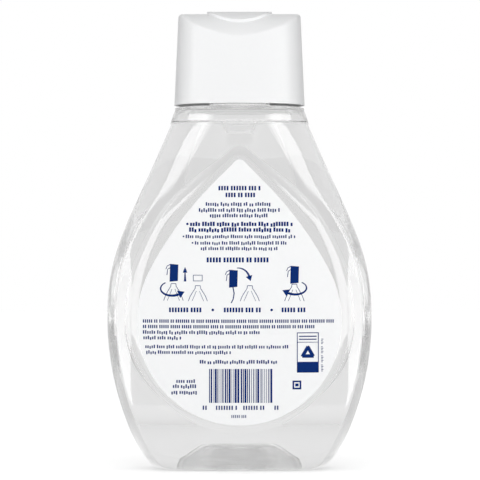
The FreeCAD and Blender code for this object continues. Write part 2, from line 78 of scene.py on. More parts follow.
# height over which the wall takes its full thickness above the heel
HEEL_SETTLE = 6.0
COLLAR_STEP = 0.35
# the collar's waist, as shares of its height and of its change of width
COLLAR_WAIST_RISE = 0.6
COLLAR_WAIST_SHARE = 0.45
COLLAR_EDGE_ROUND = 0.6
DECK_WALL = 1.3


def face_half_depth(level):
    """Half depth of the bottle where its faces run straight, leaning in towards the neck."""
    return HAUNCH_HALF_DEPTH - (level - HAUNCH_LEVEL) * math.tan(FACE_TILT)


FACE_RADIUS = 120.0
BODY_STATIONS = [
    # level, half width, half depth, face radius, rim inset, rim radius
    (HEEL_RISE, 39.6, 20.5, FACE_RADIUS, 4.6, 3.0),
    (11.6, 43.4, 23.0, FACE_RADIUS, 4.6, 3.0),
    (20.0, 47.2, face_half_depth(20.0), FACE_RADIUS, 4.6, 3.0),
    (40.0, 52.9, face_half_depth(40.0), FACE_RADIUS, 4.6, 3.0),
    (65.0, 55.0, face_half_depth(65.0), FACE_RADIUS, 4.6, 3.0),
    (83.0, 53.1, face_half_depth(83.0), FACE_RADIUS, 4.6, 3.0),
    (100.0, 47.7, face_half_depth(100.0), FACE_RADIUS, 6.2, 4.0),
    (120.0, 38.7, face_half_depth(120.0), 90.0, 9.5, 8.0),
    (COLLAR_LEVEL, 28.5, face_half_depth(COLLAR_LEVEL), 45.0, 8.0, 12.0),
]
DECK_SECTION = (26.2, 19.5, 45.0, 8.0, 12.0)
LEAST_RIM_INSET = 4.5
LEAST_RIM_RADIUS = 2.9
# start, end and step of the levels of the body's rings
LEVEL_SPANS = (
    (HEEL_RISE, 14.6, 1.0), (14.6, 22.0, 0.44), (22.0, 124.0, 1.4),
    (124.0, 137.0, 0.5), (137.0, COLLAR_LEVEL, 0.42),
)

NECK_RADIUS = 12.6
NECK_BORE = 11.0
LIP_LEVEL = 176.0
NECK_FILLET = 1.2
# start, end and step of the levels of the neck's rings
NECK_SPAN = (152.0, 174.9, 0.36)
BORE_TOP = 174.0
THREAD_DEPTH = 1.15
THREAD_HALF_ROOT = 1.15
THREAD_FLANK = 0.65
THREAD_LEAD = 8.4
THREAD_START = 158.0
THREAD_TURNS = 1.2
THREAD_STARTS = 2
# angle over which a thread rises from the neck at its ends
THREAD_RUNOUT = 0.25

PUNT_HALF = (30.0, 10.8)
PUNT_CREST_HALF = (13.5, 3.5)
PUNT_RISE = 11.2
PUNT_SHOULDER = (0.38, 0.48)
# roughness added inside the push-up
PUNT_FROST = 0.15

PANEL_LEVEL = 61.2
PANEL_RADIUS = 45.1
PANEL_SIDE_RADIUS = 74.1
PANEL_SIDE_ANGLE = math.radians(28.0)
PANEL_SHOULDER_RADIUS = 63.1
PANEL_TIP_ANGLE = math.radians(47.0)
PANEL_TIP_RADIUS = 5.6
# depth given to places beyond the panel's edge
FAR_BELOW = -1000.0
# start, end and number of the places where the panel's half width is looked for
HALF_WIDTH_PLACES = (0.0, 52.0, 521)

TAB_HALF_TOP = 6.5
TAB_HALF_FOOT = 4.8
TAB_DROP = 4.2
TAB_DEPTH = 0.55
TAB_SOFT_EDGE = 0.5
LUG_RADIUS = 1.3
LUG_LENGTH = 2.4
LUG_STAND = 0.7
FILL_LEVEL = 142.8
# distance from the wall and height over the fill line
MENISCUS = ((0.0, 1.3), (0.3, 0.65), (0.8, 0.22), (1.6, 0.04), (2.8, 0.0))

PRINT_LIFT = 0.03
PRINT_LONGEST_EDGE = 2.5

# ---- sizes of the stage, in metres

FLOOR_HALF = 4.0
FLOOR_DROP = 0.00015
CAMERA_DISTANCE = 1.135
CAMERA_LEVEL = 0.0835
AIM_ASIDE = 0.0002
SHOWN_HEIGHT = 0.1998
# light bounces often between the walls of the bottle
BOUNCES = 100

STRIP_DISTANCE = 1.1
STRIPS = (
    # start and end angle round from the camera, foot and head in metres, share of the glow
    (47.0, 80.0, -0.3, 0.58, 1.0),
    (80.0, 112.0, -0.3, 0.32, 0.5),
    (29.0, 47.0, 0.38, 0.60, 0.35),
    (32.0, 47.0, 0.37, 0.59, 0.35),
    (35.0, 47.0, 0.36, 0.58, 0.4),
)


# ---- settings a user would change

class RefillBottleSizes(PropertyGroup):
    """Sizes of the moulded details."""
    wall: FloatProperty(
        name="Wall", description="Thickness of the bottle's wall",
        default=0.8 * MM, min=0.0003, unit="LENGTH",
    )
    panel_rise: FloatProperty(
        name="Panel rise", description="How far the panel under the label stands out from the face",
        default=0.8 * MM, min=0.0001, unit="LENGTH",
    )
    panel_edge: FloatProperty(
        name="Panel edge", description="Radius of the panel's rounded edge",
        default=10.0 * MM, min=0.004, unit="LENGTH",
    )
    liquid_seat: FloatProperty(
        name="Liquid seat",
        description="How far the liquid reaches into the wall so that no air shows between",
        default=0.06 * MM, min=0.0, unit="LENGTH",
    )


class RefillBottleFinishes(PropertyGroup):
    """Colours and finishes."""
    cap_white: FloatVectorProperty(
        name="Cap", description="Colour of the moulded cap", subtype="COLOR",
        size=3, min=0, max=1, default=(0.86, 0.865, 0.87),
    )
    label_white: FloatVectorProperty(
        name="Label film", description="Colour of the label's film", subtype="COLOR",
        size=3, min=0, max=1, default=(0.9, 0.905, 0.91),
    )
    ink: FloatVectorProperty(
        name="Ink", description="Colour of the print", subtype="COLOR",
        size=3, min=0, max=1, default=(0.001, 0.024, 0.16),
    )
    liquid: FloatVectorProperty(
        name="Liquid", description="Tint of the dish soap", subtype="COLOR",
        size=3, min=0, max=1, default=(0.99, 0.99, 0.99),
    )
    seed: IntProperty(name="Print seed", description="Changes the rhythm of the printed lines", default=7)


class RefillBottleStage(PropertyGroup):
    """Lamps and backdrop."""
    front_power: FloatProperty(
        name="Front lamp", description="Power of the soft lamp behind the camera",
        default=26.5, min=0.0, unit="POWER",
    )
    edge_glow: FloatProperty(
        name="Edge glow", description="Brightness of the tall strips that draw the rims",
        default=5.5, min=0.0,
    )
    top_power: FloatProperty(
        name="Top lamp", description="Power of the lamp overhead",
        default=0.8, min=0.0, unit="POWER",
    )
    ambient: FloatProperty(
        name="Ambient", description="Strength of the light from all round",
        default=0.42, min=0.0, max=1.0,
    )
    backdrop: FloatProperty(
        name="Backdrop", description="Brightness of the backdrop seen through the bottle",
        default=0.77, min=0.0, max=1.0,
    )


# ---- small helpers

def settings():
    """The scene's settings for this object."""
    scene = bpy.context.scene
    return scene.refill_sizes, scene.refill_finishes, scene.refill_stage


def ray(angle):
    """Unit vector at an angle."""
    return np.array([math.cos(angle), math.sin(angle)])


def at_level(across, deep, level):
    """Points of a ring at one level."""
    return np.column_stack([across, deep, np.full(len(across), level)])


def place_object(name, data):
    """New object in the scene."""
    piece = bpy.data.objects.new(name, data)
    bpy.context.scene.collection.objects.link(piece)
    return piece


def place_mesh(name, vertices, faces, smooth=True):
    """New mesh object from vertices in millimetres."""
    mesh = bpy.data.meshes.new(name)
    mesh.from_pydata([tuple(v) for v in np.asarray(vertices) * MM], [], faces)
    skin = bmesh.new()
    skin.from_mesh(mesh)
    bmesh.ops.recalc_face_normals(skin, faces=skin.faces[:])
    skin.to_mesh(mesh)
    skin.free()
    mesh.update()
    if smooth:
        mesh.shade_smooth()
        mesh.set_sharp_from_angle(angle=math.radians(40.0))
    return place_object(name, mesh)


def skin_of_rings(rings):
    """Vertices and faces of a skin over a stack of closed rings, with a pole at each end."""
    count = len(rings[0])
    faces = []
    for here in range(0, (len(rings) - 1) * count, count):
        there = here + count
        for k in range(count):
            after = (k + 1) % count
            faces.append((here + k, here + after, there + after, there + k))
    pole = len(rings) * count
    last = pole - count
    faces += [(pole, (k + 1) % count, k) for k in range(count)]
    faces += [(pole + 1, last + k, last + (k + 1) % count) for k in range(count)]
    poles = [rings[0].mean(axis=0), rings[-1].mean(axis=0)]
    return np.concatenate([*rings, np.array(poles)]), faces


def smooth_curve(knots, values, at, start_slope=None):
    """Cubic spline through knots, straight at its ends or with a given slope at its start."""
    knots, values = np.asarray(knots, float), np.asarray(values, float)
    count = len(knots)
    step = np.diff(knots)
    slope = np.diff(values) / step
    matrix = np.zeros((count, count))
    right = np.zeros(count)
    for k in range(1, count - 1):
        matrix[k, k - 1] = step[k - 1]
        matrix[k, k] = 2 * (step[k - 1] + step[k])
        matrix[k, k + 1] = step[k]
        right[k] = 6 * (slope[k] - slope[k - 1])
    matrix[0, 0] = 1.0
    matrix[-1, -1] = 1.0
    if start_slope is not None:
        matrix[0, 0], matrix[0, 1] = 2 * step[0], step[0]
        right[0] = 6 * (slope[0] - start_slope)
    bend = np.linalg.solve(matrix, right)
    place = np.clip(np.searchsorted(knots, at, side="right") - 1, 0, count - 2)
    run, along = step[place], np.asarray(at) - knots[place]
    rest = run - along
    return (
        (bend[place] * rest ** 3 + bend[place + 1] * along ** 3) / (6 * run)
        + (values[place] / run - bend[place] * run / 6) * rest
        + (values[place + 1] / run - bend[place + 1] * run / 6) * along
    )


# ---- raised panel under the label

def drop_points(outset):
    """Points along the right half of the panel's drop outline, from its lowest point to its tip."""
    steps = 60
    radius, side = PANEL_RADIUS + outset, PANEL_SIDE_RADIUS + outset
    shoulder, tip = PANEL_SHOULDER_RADIUS + outset, PANEL_TIP_RADIUS + outset

    belly_centre = np.array([0.0, PANEL_LEVEL])
    side_centre = np.array([radius - side, PANEL_LEVEL])
    shoulder_centre = side_centre + (side - shoulder) * ray(PANEL_SIDE_ANGLE)
    shoulder_end = shoulder_centre + shoulder * ray(PANEL_TIP_ANGLE)
    apex = shoulder_end[1] + shoulder_end[0] / math.tan(PANEL_TIP_ANGLE)
    tip_centre = np.array([0.0, apex - tip / math.sin(PANEL_TIP_ANGLE)])
    tip_end = tip_centre + tip * ray(PANEL_TIP_ANGLE)
    points = []
    for centre, reach, start, end in (
        (belly_centre, radius, -math.pi / 2, 0.0),
        (side_centre, side, 0.0, PANEL_SIDE_ANGLE),
        (shoulder_centre, shoulder, PANEL_SIDE_ANGLE, PANEL_TIP_ANGLE),
    ):
        points += [centre + reach * ray(angle) for angle in np.linspace(start, end, steps)[:-1]]
    points += [shoulder_end + (tip_end - shoulder_end) * share for share in np.linspace(0, 1, steps)[:-1]]
    points += [tip_centre + tip * ray(angle) for angle in np.linspace(PANEL_TIP_ANGLE, math.pi / 2, steps)]
    return np.array(points)


def panel_core():
    """Points x, half depth, level of the curve that the middle of the panel's rounded edge follows."""
    sizes = settings()[0]
    rise, edge = sizes.panel_rise / MM, sizes.panel_edge / MM
    spread = edge - math.sqrt(2 * edge * rise - rise ** 2)
    reach = FACE_RADIUS + rise - edge
    turn = math.acos((reach ** 2 + FACE_RADIUS ** 2 - edge ** 2) / (2 * reach * FACE_RADIUS))
    upright = reach * math.sin(math.asin(PANEL_RADIUS / FACE_RADIUS) - turn) + edge
    outline = drop_points(spread) * np.array([upright / (PANEL_RADIUS + spread), 1.0])
    along = np.gradient(outline, axis=0)
    inwards = np.stack([-along[:, 1], along[:, 0]], axis=1)
    core = outline + inwards / np.linalg.norm(inwards, axis=1)[:, None] * edge
    x, level = np.maximum(core[:, 0], 0.0), core[:, 1]
    return np.stack([x, panel_face(x, level, reach), level], axis=1)


def panel_face(x, level, radius):
    """Half depth of the panel's broad face, or of a face that is parallel to it further in."""
    middle = face_half_depth(level) - FACE_RADIUS
    return middle + np.sqrt(radius ** 2 - x ** 2) / math.cos(FACE_TILT)


def panel_depth(x, level, inset, core):
    """Half depth of the panel at places along a level, and far below the face beyond its edge."""
    sizes = settings()[0]
    edge = sizes.panel_edge / MM - inset
    radius = FACE_RADIUS + sizes.panel_rise / MM - inset
    turn = np.arcsin(core[:, 0] / (radius - edge))
    touch_x = core[:, 0] + edge * np.sin(turn)
    touch_level = core[:, 2] + edge * np.cos(turn) * math.sin(FACE_TILT)
    broad = np.interp(level, touch_level, touch_x, left=-1.0, right=-1.0)
    ball = edge ** 2 - (np.abs(x)[:, None] - core[:, 0]) ** 2 - (level - core[:, 2]) ** 2
    rounded = np.where(ball > 0, core[:, 1] + np.sqrt(np.maximum(ball, 0.0)), FAR_BELOW).max(axis=1)
    return np.where(np.abs(x) <= broad, panel_face(x, level, radius), rounded)


def panel_half_width(section, level, inset, core):
    """Half width of the panel where its edge dives into the face at a level, or 0."""
    half_depth, face_radius = section[1], section[2]
    x = np.linspace(*HALF_WIDTH_PLACES)
    face = half_depth - face_radius + np.sqrt(face_radius ** 2 - np.minimum(x, face_radius) ** 2)
    proud = panel_depth(x, level, inset, core) - face
    outside = np.nonzero(proud <= 0)[0]
    first = outside[0] if len(outside) else len(x) - 1
    if first == 0:
        return 0.0
    share = proud[first - 1] / (proud[first - 1] - proud[first])
    return float(x[first - 1] + share * (x[first] - x[first - 1]))


# ---- oval sections

# columns from the middle to the crease's approach, to the crease, beside it twice, and to the rim
FACE_COLUMNS = (12, 14, 1, 1, 8)
CREASE_APPROACH = 9.0
CREASE_STEP = 0.3
RIM_COLUMNS = 9
SIDE_COLUMNS = 8


def quarter_oval(section, crease):
    """Points of a quarter of an oval with the angle of its normal: face arc, rim arc, side arc."""
    half_width, half_depth, face_radius, rim_inset, rim_radius = section
    corner_x = half_width - rim_inset
    corner_y = half_depth - face_radius + math.sqrt(face_radius ** 2 - corner_x ** 2)
    side_radius = (corner_y ** 2 + rim_inset ** 2) / (2 * rim_inset)
    face_centre = np.array([0.0, half_depth - face_radius])
    side_centre = np.array([half_width - side_radius, 0.0])
    between = side_centre - face_centre
    apart = np.linalg.norm(between)
    reach_face, reach_side = face_radius - rim_radius, side_radius - rim_radius
    along = (reach_face ** 2 - reach_side ** 2 + apart ** 2) / (2 * apart)
    across = math.sqrt(max(reach_face ** 2 - along ** 2, 0.0))
    between = between / apart
    outwards = np.array([-between[1], between[0]])
    corner = np.array([corner_x, corner_y])
    options = [face_centre + between * along + outwards * side * across for side in (1, -1)]
    rim_centre = min(options, key=lambda point: np.linalg.norm(point - corner))
    face_turn, side_turn = (math.atan2(*(rim_centre - centre)) for centre in (face_centre, side_centre))
    face_end = face_radius * math.sin(face_turn)

    inner = max(crease - CREASE_APPROACH, crease * 0.4)
    beside = min(CREASE_STEP, 0.1 * crease, 0.3 * (face_end - crease))
    places = (0.0, inner, crease - beside, crease, crease + beside, face_end)
    x = np.concatenate([
        np.linspace(start, end, columns + 1)[:-1]
        for start, end, columns in zip(places[:-1], places[1:], FACE_COLUMNS)
    ])
    turn = np.arcsin(x / face_radius)
    turns = [turn]
    points = [np.stack([x, face_centre[1] + face_radius * np.cos(turn)], axis=1)]
    for centre, radius, turn in (
        (rim_centre, rim_radius, np.linspace(face_turn, side_turn, RIM_COLUMNS + 1)[:-1]),
        (side_centre, side_radius, np.linspace(side_turn, math.pi / 2, SIDE_COLUMNS + 1)),
    ):
        turns.append(turn)
        points.append(centre + radius * np.stack([np.sin(turn), np.cos(turn)], axis=1))
    return np.concatenate(points), np.concatenate(turns)


def ring_from_quarter(points, turns, level, front_sink=None):
    """Full ring from a quarter, with a depth taken off the front half along the normal."""
    front = points
    if front_sink is not None:
        front = points - np.stack([np.sin(turns), np.cos(turns)], axis=1) * front_sink[:, None]
    quarters = []
    for sign_x, sign_y in ((1, 1), (1, -1), (-1, -1), (-1, 1)):
        quarter = (front if sign_y < 0 else points) * np.array([sign_x, sign_y])
        if sign_x * sign_y < 0:
            quarter = quarter[::-1]
        quarters.append(quarter[:-1])
    return at_level(*np.concatenate(quarters).T, level)


def body_section(level, inset):
    """Section of the body at a level, moved in by an inset."""
    levels, *columns = np.array(BODY_STATIONS).T
    slopes = (math.tan(math.pi / 2 - HEEL_SPREAD),) * 2 + (None,) * 3
    half_width, half_depth, face_radius, rim_inset, rim_radius = (
        float(smooth_curve(levels, values, level, slope)) for values, slope in zip(columns, slopes)
    )
    rim_radius = max(rim_radius, LEAST_RIM_RADIUS)
    return (
        half_width - inset, half_depth - inset, face_radius - inset,
        max(rim_inset, LEAST_RIM_INSET), max(rim_radius - inset, 0.5 * rim_radius),
    )


def tab_share(x, level):
    """1 inside the trapezoid tab under the collar and 0 outside it, with a soft edge."""
    drop = (COLLAR_LEVEL - level) / TAB_DROP
    half = TAB_HALF_TOP + (TAB_HALF_FOOT - TAB_HALF_TOP) * drop
    beside = np.clip((half - np.abs(x)) / TAB_SOFT_EDGE + 0.5, 0, 1)
    return beside * float(np.clip((1.0 - drop) * TAB_DROP / TAB_SOFT_EDGE + 0.5, 0, 1))


def body_ring(level, inset, moulded, core):
    """Ring of the body with its raised panels and its tab."""
    section = body_section(level, inset)
    crease = panel_half_width(section, level, inset, core)
    tab_half = np.interp(
        level, (COLLAR_LEVEL - 2.5 * TAB_DROP, COLLAR_LEVEL - TAB_DROP, COLLAR_LEVEL),
        (3.0, TAB_HALF_FOOT, TAB_HALF_TOP),
    )
    points, turns = quarter_oval(section, max(crease, tab_half))
    broad = sum(FACE_COLUMNS)
    raised = panel_depth(points[:broad, 0], level, inset, core)
    points[:broad, 1] = np.maximum(points[:broad, 1], raised)
    tab = TAB_DEPTH * tab_share(points[:, 0], level) if moulded else None
    return ring_from_quarter(points, turns, level, tab)


def plain_ring(section, level):
    """Ring of a plain oval section."""
    return ring_from_quarter(*quarter_oval(section, TAB_HALF_TOP), level)


def round_ring(half_x, half_y, level):
    """Elliptical ring with as many points as the ovals have."""
    quarter = sum(FACE_COLUMNS) + RIM_COLUMNS + SIDE_COLUMNS
    turn = np.linspace(0, 2 * math.pi, 4 * quarter + 1)[:-1]
    return at_level(half_x * np.sin(turn), half_y * np.cos(turn), level)


def blend_rings(first, second, share, level):
    """Ring between two rings, at a level of its own."""
    ring = first * (1 - share) + second * share
    ring[:, 2] = level
    return ring


def body_levels():
    """Levels of the body's rings, closer together where the moulded details run across."""
    levels = []
    for start, end, step in LEVEL_SPANS:
        levels += list(np.linspace(start, end, int(round((end - start) / step)) + 1)[:-1])
    return levels[1:] + [COLLAR_LEVEL]


def heel_rings(inset):
    """Rings of the rounded heel, from the flat of the base up to the foot."""
    half_width, half_depth, face_radius, rim_inset, rim_radius = BODY_STATIONS[0][1:]
    rim_radius = max(rim_radius - inset, 0.5 * rim_radius)
    rings = []
    for angle in np.linspace(0, HEEL_SPREAD, 9):
        pull = (HEEL_RADIUS - inset) * (math.sin(HEEL_SPREAD) - math.sin(angle))
        pull += inset * math.sin(HEEL_SPREAD)
        section = (half_width - pull, half_depth - pull, face_radius, rim_inset, rim_radius)
        rings.append(plain_ring(section, HEEL_RADIUS - (HEEL_RADIUS - inset) * math.cos(angle)))
    return rings


def punt_rings(inset):
    """Rings of the push-up of the base, from the middle of its crest out to the base."""
    crest_x, crest_y = (half + inset for half in PUNT_CREST_HALF)
    rings = [round_ring(crest_x * share, crest_y * share, PUNT_RISE + inset) for share in (0.35, 0.7, 0.9)]
    for along in np.linspace(0.97, 0.0, 14):
        share, rise = (smooth_curve((0.0, 0.5, 1.0), (0.0, turn, 1.0), along) for turn in PUNT_SHOULDER)
        half_x, half_y = (
            foot + share * (crest - foot) + inset for foot, crest in zip(PUNT_HALF, PUNT_CREST_HALF)
        )
        rings.append(round_ring(half_x, half_y, inset + PUNT_RISE * rise))
    return rings


def shell_below_collar(inset, moulded):
    """Rings from the middle of the base out and up to the collar."""
    rings = punt_rings(inset)
    heel = heel_rings(inset)
    rings.append(blend_rings(rings[-1], heel[0], 0.5, heel[0][0][2]))
    rings += heel
    core = panel_core()
    start = math.sin(HEEL_SPREAD)
    for level in body_levels():
        if level >= HEEL_RISE + inset * math.cos(HEEL_SPREAD) + 0.3:
            settle = min(1.0, (level - HEEL_RISE) / HEEL_SETTLE)
            rings.append(body_ring(level, inset * (start + (1 - start) * settle), moulded, core))
    return rings


# ---- neck and bottle

def collar_section(share, outset):
    """Section of the collar: share 0 at its foot and 1 at the deck."""
    values = [a + share * (b - a) for a, b in zip(BODY_STATIONS[-1][1:], DECK_SECTION)]
    return (values[0] + outset, values[1] + outset, values[2] + outset, values[3], values[4] + outset)


def thread_height(turn, level):
    """Height of the thread's ridge on the neck at an angle and a level."""
    height = np.zeros_like(turn)
    whole = 2 * math.pi
    length = whole * THREAD_TURNS
    for start in range(THREAD_STARTS):
        for lap in range(-1, 3):
            swept = (turn - whole * start / THREAD_STARTS) % whole + whole * lap
            centre = THREAD_START + THREAD_LEAD * swept / whole
            inside = (swept >= 0) & (swept <= length)
            ends = np.clip(np.minimum(swept, length - swept) / THREAD_RUNOUT, 0, 1)
            flank = np.clip((THREAD_HALF_ROOT - np.abs(level - centre)) / THREAD_FLANK, 0, 1)
            height = np.maximum(height, THREAD_DEPTH * flank * ends * inside)
    return height


def neck_ring(level, radius, threaded=False):
    """Round ring of the neck, with its thread."""
    ring = round_ring(1.0, 1.0, level)
    turn = np.arctan2(ring[:, 1], ring[:, 0])
    reach = radius + (thread_height(turn, level) if threaded else 0)
    ring[:, 0] *= reach
    ring[:, 1] *= reach
    return ring


def collar_rings():
    """Rings of the collar and the rounded edge of its deck."""
    rings = [plain_ring(collar_section(0.0, COLLAR_STEP), COLLAR_LEVEL + 0.15)]
    for rise in np.linspace(0.1, 0.9, 9):
        share = np.interp(rise, (0.0, COLLAR_WAIST_RISE, 1.0), (0.0, COLLAR_WAIST_SHARE, 1.0))
        section = collar_section(share, COLLAR_STEP * (1 - rise))
        rings.append(plain_ring(section, COLLAR_LEVEL + rise * (DECK_LEVEL - COLLAR_LEVEL)))
    for angle in np.linspace(0, math.pi / 2, 5):
        rings.append(plain_ring(
            collar_section(1.0, COLLAR_EDGE_ROUND * (math.cos(angle) - 1)),
            DECK_LEVEL - COLLAR_EDGE_ROUND * (1 - math.sin(angle)),
        ))
    return rings


def neck_rings():
    """Rings of the neck from the deck up to the lip and down the bore."""
    rings = []
    for angle in np.linspace(0, math.pi / 2, 6):
        rings.append(neck_ring(
            DECK_LEVEL + NECK_FILLET * (1 - math.cos(angle)),
            NECK_RADIUS + NECK_FILLET * (1 - math.sin(angle)),
        ))
    rings += [neck_ring(level, NECK_RADIUS, threaded=True) for level in np.arange(*NECK_SPAN)]
    middle = 0.5 * (NECK_RADIUS + NECK_BORE)
    half = 0.5 * (NECK_RADIUS - NECK_BORE)
    for angle in np.linspace(0, math.pi, 9):
        rings.append(neck_ring(
            LIP_LEVEL - half * (1 - math.sin(angle)), middle + half * math.cos(angle),
        ))
    return rings + [neck_ring(level, NECK_BORE) for level in np.linspace(BORE_TOP, DECK_LEVEL + 0.2, 8)]


def inside_of_collar(wall):
    """Rings of the inside from the bore out under the deck and down to the collar's foot."""
    under_deck = DECK_LEVEL - DECK_WALL
    rings = [neck_ring(under_deck + 0.5, NECK_BORE + 0.2), neck_ring(under_deck, NECK_BORE + 0.9)]
    edge = plain_ring(collar_section(0.8, -wall - 0.8), under_deck)
    rings.append(blend_rings(rings[-1], edge, 0.5, under_deck))
    rings.append(edge)
    for share in (0.8, 0.6, 0.4, 0.2, 0.05):
        level = COLLAR_LEVEL + share / 0.8 * (under_deck - COLLAR_LEVEL) * 0.9
        rings.append(plain_ring(collar_section(share, -wall), level))
    return rings


def make_bottle():
    """Clear bottle: outside, neck with its thread, and the inside of the wall, in one skin."""
    wall = settings()[0].wall / MM
    rings = shell_below_collar(0.0, True) + collar_rings() + neck_rings()
    rings += inside_of_collar(wall) + shell_below_collar(wall, False)[::-1]
    return place_mesh("clear_bottle", *skin_of_rings(rings))


def make_lugs():
    """Two small half-round lugs at the ends of the collar."""
    vertices, faces = [], []
    turn = np.linspace(0, 2 * math.pi, 21)[:-1]
    foot = DECK_LEVEL - 0.05 - LUG_LENGTH
    for side in (-1, 1):
        centre = side * (DECK_SECTION[0] + LUG_STAND - LUG_RADIUS)
        rings = []
        for reach, rise in ((0.75, 0.0), (1.0, 0.3), (1.0, LUG_LENGTH - 0.3), (0.75, LUG_LENGTH)):
            across, deep = LUG_RADIUS * reach * np.sin(turn), LUG_RADIUS * reach * np.cos(turn)
            rings.append(at_level(centre + across, deep, foot + rise))
        points, skin = skin_of_rings(rings)
        shift = len(vertices)
        vertices += list(points)
        faces += [tuple(k + shift for k in face) for face in skin]
    return place_mesh("collar_lugs", vertices, faces)


# ---- liquid

def make_liquid():
    """Dish soap up to the foot of the collar, with a small meniscus at the wall."""
    sizes = settings()[0]
    inset = (sizes.wall - sizes.liquid_seat) / MM
    rings = [ring for ring in shell_below_collar(inset, False) if ring[0][2] < FILL_LEVEL - 0.05]
    top = body_section(FILL_LEVEL, inset)
    for back, rise in MENISCUS:
        section = (top[0] - back, top[1] - back, top[2] - back, top[3], max(top[4] - back, 4.0))
        rings.append(plain_ring(section, FILL_LEVEL + rise))
    for shrink in (0.7, 0.5):
        ring = rings[-1] * np.array([shrink, shrink, 1.0])
        ring[:, 2] = FILL_LEVEL
        rings.append(ring)
    return place_mesh("soap_liquid", *skin_of_rings(rings))


# ---- label print

class Print:
    """Flat shapes in the plane of the label, laid on it afterwards."""

    def __init__(self, seed):
        self.mesh = bmesh.new()
        self.chance = random.Random(seed)

    def corners(self, points):
        """Corners at a row of points."""
        return [self.mesh.verts.new((x, 0.0, level)) for x, level in points]

    def shape(self, points):
        """Filled polygon."""
        self.mesh.faces.new(self.corners(points))

    def box(self, left, right, low, high):
        """Filled box."""
        self.shape([(left, low), (right, low), (right, high), (left, high)])

    def bar(self, left, right, middle, height):
        """Bar between two places."""
        self.box(left, right, middle - height / 2, middle + height / 2)

    def band(self, inner, outer):
        """Ring or strip between two rows of points."""
        first, second = self.corners(inner), self.corners(outer)
        for k in range(len(first) - 1):
            self.mesh.faces.new((first[k], second[k], second[k + 1], first[k + 1]))

    def arc(self, x, level, width, height, start, end, thickness, steps=18):
        """Curved strip along part of an ellipse, from thin to thick, with angles in degrees."""
        rows = ([], [])
        for share in np.linspace(0, 1, steps):
            angle = math.radians(start + share * (end - start))
            half = thickness / 2 * (0.4 + 0.6 * share)
            for row, grow in zip(rows, (-half, half)):
                row.append(np.array([x, level]) + np.array([width / 2 + grow, height / 2 + grow]) * ray(angle))
        self.band(*rows)

    def line(self, points, thickness):
        """Thin line through a few points."""
        points = np.array(points, float)
        along = np.gradient(points, axis=0)
        along /= np.linalg.norm(along, axis=1)[:, None]
        beside = np.stack([-along[:, 1], along[:, 0]], axis=1) * thickness / 2
        self.band(points - beside, points + beside)

    def frame(self, left, right, low, high, thickness):
        """Outline of a box."""
        self.bar(left, right, high - thickness / 2, thickness)
        self.bar(left, right, low + thickness / 2, thickness)
        for edge in (left, right - thickness):
            self.box(edge, edge + thickness, low + thickness, high - thickness)

    def words(self, left, right, middle, height, weight, capitals):
        """Row of short strokes in word-like groups between two places."""
        pitch = 0.62 * height
        last = right - pitch * 0.6
        place = left
        while place < last:
            for _ in range(self.chance.randint(2, 8)):
                if place > last:
                    break
                tall = self.chance.choice((0.78, 0.78, 0.78, 1.0, 1.0))
                shift = self.chance.choice((0.0, 0.0, 0.0, -0.18)) * height
                if capitals:
                    tall, shift = 1.0, 0.0
                level = middle + shift + (tall - 1) * height / 2
                self.bar(place, place + pitch * weight, level, height * tall)
                place += pitch
            place += pitch * 0.55


TEXT_ROWS = (
    # height, weight and capitals, then level, left and right of each row
    (1.8, 0.66, True, ((115.9, -8.6, 8.9), (113.1, -5.7, 6.6))),
    (1.5, 0.62, False, ((109.45, -13.8, 13.9), (107.0, -16.6, 16.8), (104.75, -12.1, 12.3))),
    (1.75, 0.74, False, ((101.3, -20.2, 22.1), (99.0, -20.6, 20.9))),
    (1.4, 0.62, False, ((96.2, -22.0, 23.3), (93.55, -18.2, 19.6), (91.3, -15.8, 15.6))),
    (2.0, 0.68, True, ((86.6, -13.4, 13.1),)),
    (1.9, 0.66, True, ((66.2, -28.8, -15.4), (66.2, -6.4, 9.0), (66.2, 17.2, 28.6))),
    (1.35, 0.62, True, ((61.6, -39.6, 38.8), (59.35, -39.6, 31.0))),
    (1.45, 0.62, False, ((57.1, -39.6, 9.0), (54.85, -39.4, -23.1))),
    (1.4, 0.62, False, ((51.2, -38.6, 20.0), (48.95, -38.2, -3.2))),
    (1.45, 0.66, False, ((45.1, -16.2, 16.0),)),
    (1.5, 0.62, False, ((37.2, -25.8, -17.8), (35.1, -27.2, -16.6), (32.7, -27.8, -16.0))),
    (1.7, 0.55, True, ((26.4, -15.0, -12.6), (26.4, -9.6, -1.0), (26.4, 1.5, 10.3), (26.4, 14.2, 16.2))),
    (1.2, 0.5, True, ((22.9, -3.3, 3.4),)),
)
# x, level and radius of the round marks
ROUND_MARKS = (
    (-21.3, 101.3, 0.5), (-22.9, 96.2, 0.35), (-19.2, 93.55, 0.35), (-10.9, 66.2, 0.55), (13.1, 66.2, 0.55),
)


def print_rows(ink):
    """Rows of strokes in place of text, with round marks before and between some of them."""
    for height, weight, capitals, rows in TEXT_ROWS:
        for level, left, right in rows:
            ink.words(left, right, level, height, weight, capitals)
    turn = np.linspace(0, 2 * math.pi, 13)[:-1]
    for x, level, reach in ROUND_MARKS:
        ink.shape([np.array([x, level]) + reach * ray(angle) for angle in turn])


def print_sprayer(ink, x, level):
    """Plain trigger sprayer: solid body and a trigger drawn in thin lines."""
    ink.shape([
        (x - 1.5, level), (x + 1.9, level - 0.3), (x + 1.5, level - 3.4),
        (x + 1.7, level - 7.0), (x - 1.7, level - 7.3), (x - 1.3, level - 3.4),
    ])
    ink.line([(x - 1.4, level - 0.2), (x - 2.7, level - 0.9), (x - 3.2, level - 2.1)], 0.3)
    ink.line([(x - 1.5, level - 1.6), (x - 2.5, level - 2.2), (x - 2.8, level - 4.6)], 0.3)


